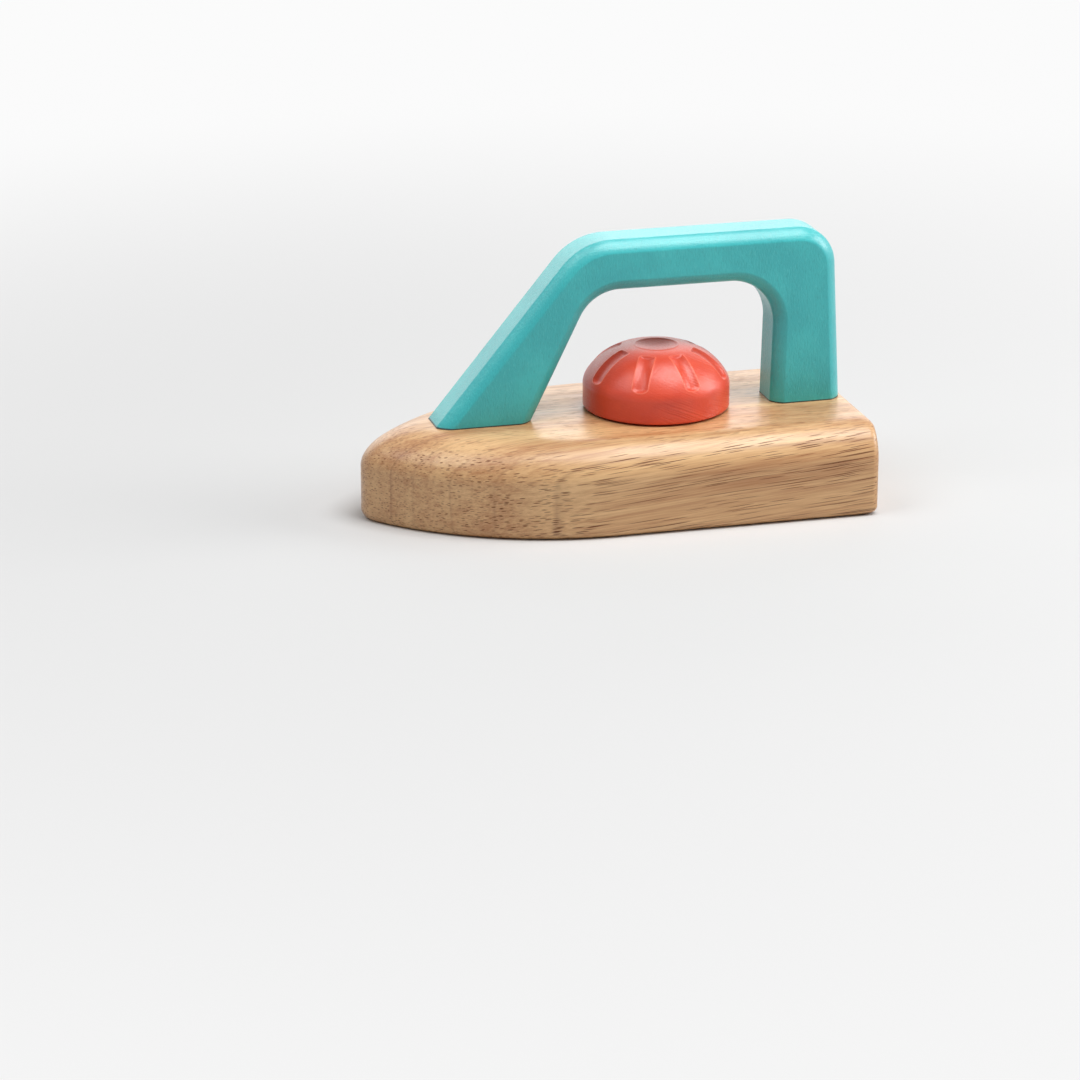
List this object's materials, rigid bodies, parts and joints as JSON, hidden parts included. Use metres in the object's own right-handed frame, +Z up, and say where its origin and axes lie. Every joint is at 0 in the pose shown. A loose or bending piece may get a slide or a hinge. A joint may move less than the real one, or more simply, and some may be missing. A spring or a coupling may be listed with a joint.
{
  "type": "toy iron",
  "caption": "wooden toy flat iron with a painted arched handle and a turned, grooved dial that clicks as it turns",
  "frame": {"origin": "middle of the sole, on the surface that the iron stands on", "axes": "X runs from the nose to the heel, Y runs across the iron, Z is up"},
  "size_m": [0.1504, 0.0754, 0.0821],
  "materials": {
    "lacquered_wood": "clear satin lacquer over pale brown hardwood with dark pores",
    "teal_paint": "satin teal paint on wood, grain faintly showing",
    "dowel_wood": "plain birch",
    "red_paint": "satin orange-red paint on turned wood",
    "steel": "plain bright steel",
    "white_plastic": "natural acetal",
    "grey_plastic": "dark grey moulded",
    "brass": "turned brass"
  },
  "bodies": {
    "iron": {"base_block": "lacquered_wood", "handle": "teal_paint", "front_dowel_fore": "dowel_wood", "front_dowel_aft": "dowel_wood", "rear_dowel_fore": "dowel_wood", "rear_dowel_aft": "dowel_wood", "upper_bush": "white_plastic", "lower_bush": "white_plastic", "plunger_sleeve": "grey_plastic", "plunger_spring": "steel", "sole_plug": "lacquered_wood"},
    "dial_set": {"dial": "red_paint", "axle": "steel", "click_wheel": "white_plastic", "wheel_screws": "steel", "spring_washer": "steel", "retaining_washer": "steel", "axle_screw": "steel"},
    "plunger": {"plunger": "brass"}
  },
  "joints": [
    {"name": "dial_spin", "type": "hinge", "parent": "iron", "child": "dial_set", "pos_m": [0.01625, 0, 0.028], "axis": [0, 0, 1], "continuous": true},
    {"name": "plunger_slide", "type": "slide", "parent": "iron", "child": "plunger", "axis": [0, 0, -1], "range_m": [0, 0.001], "stiffness_N_per_m": 2000, "springref_m": -0.001, "deforming": ["plunger_spring"]}
  ]
}
